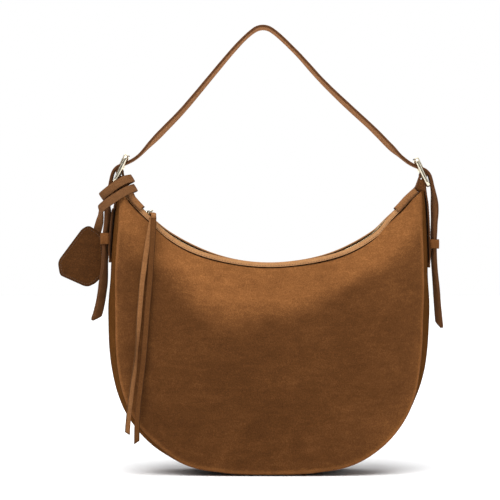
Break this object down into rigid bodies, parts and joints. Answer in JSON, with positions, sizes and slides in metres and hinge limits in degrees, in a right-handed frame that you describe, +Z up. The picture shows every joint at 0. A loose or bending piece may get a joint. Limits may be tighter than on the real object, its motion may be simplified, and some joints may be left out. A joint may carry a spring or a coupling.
{
  "type": "hobo bag",
  "caption": "Soft crescent-topped shoulder bag with a curved top zip, thong zip pull, adjustable strap on two buckles and a tag on a wound lace.",
  "frame": {"origin": "centre of the flat under the base, where the bag stands", "axes": "+Z up, +Y to the back, +X to the right seen from the front"},
  "size_m": [0.4544, 0.1102, 0.5274],
  "materials": {
    "suede": "tan suede, nap brushed both ways",
    "suede_edge": "paler suede strip, cut edges",
    "suede_dark": "brown suede thong",
    "tag_suede": "brown suede, two leaves stitched",
    "metal": "pale gold plate, polished",
    "lining": "plain woven cotton",
    "zip_tape": "woven zip tape"
  },
  "bodies": {
    "bag": {"front_panel": "suede", "back_panel": "suede", "gusset": "suede", "lining": "lining", "inner_pocket": "lining", "zip_facing_front": "suede_edge", "zip_facing_back": "suede_edge", "zip_tape_front": "zip_tape", "zip_tape_back": "zip_tape", "zip_teeth_front": "metal", "zip_teeth_back": "metal", "zip_stop_left": "metal", "zip_stop_right": "metal", "chape_right": "suede", "chape_left": "suede", "strap_end_right": "suede", "strap_end_left": "suede", "keeper_right": "suede", "keeper_left": "suede", "charm_lace": "suede"},
    "slider": {"zip_slider": "metal", "pull_ring": "metal", "pull_loop": "suede_dark"},
    "pull": {"thong_right": "suede_dark", "thong_left": "suede_dark"},
    "strap": {"shoulder_strap": "suede"},
    "buckle_right": {"buckle_frame_right": "metal", "buckle_bar_right": "metal"},
    "buckle_left": {"buckle_frame_left": "metal", "buckle_bar_left": "metal"},
    "prong_right": {"buckle_prong_right": "metal"},
    "prong_left": {"buckle_prong_left": "metal"},
    "tag": {"tag_front": "tag_suede", "tag_back": "tag_suede"}
  },
  "joints": [
    {"name": "zip_slide", "type": "hinge", "parent": "bag", "child": "slider", "pos_m": [0, 0, 0.462], "axis": [0, -1, 0], "range_deg": [0, 84.5]},
    {"name": "pull_hang", "type": "hinge", "parent": "slider", "child": "pull", "pos_m": [-0.14093, 0, 0.30874], "axis": [0, -1, 0], "range_deg": [-84.5, 0]},
    {"name": "strap_swing", "type": "hinge", "parent": "bag", "child": "strap", "pos_m": [0, 0, 0.377], "axis": [1, 0, 0], "range_deg": [-135, 135]},
    {"name": "buckle_right_pivot", "type": "hinge", "parent": "bag", "child": "buckle_right", "pos_m": [0.18244, 0, 0.35272], "axis": [0, 1, 0], "range_deg": [-2.5, 2.5]},
    {"name": "buckle_left_pivot", "type": "hinge", "parent": "bag", "child": "buckle_left", "pos_m": [-0.17764, 0, 0.35672], "axis": [0, 1, 0], "range_deg": [-2.5, 2.5]},
    {"name": "prong_right_pivot", "type": "hinge", "parent": "buckle_right", "child": "prong_right", "pos_m": [0.18244, 0, 0.35272], "axis": [0, 1, 0], "range_deg": [0, 5]},
    {"name": "prong_left_pivot", "type": "hinge", "parent": "buckle_left", "child": "prong_left", "pos_m": [-0.17764, 0, 0.35672], "axis": [0, -1, 0], "range_deg": [0, 5]},
    {"name": "tag_swing", "type": "hinge", "parent": "bag", "child": "tag", "pos_m": [-0.2054, 0.0153, 0.29], "axis": [0, 1, 0], "range_deg": [0, 35]}
  ],
  "couplings": [
    {"joint": "pull_hang", "follows": "zip_slide", "ratio": -1}
  ]
}
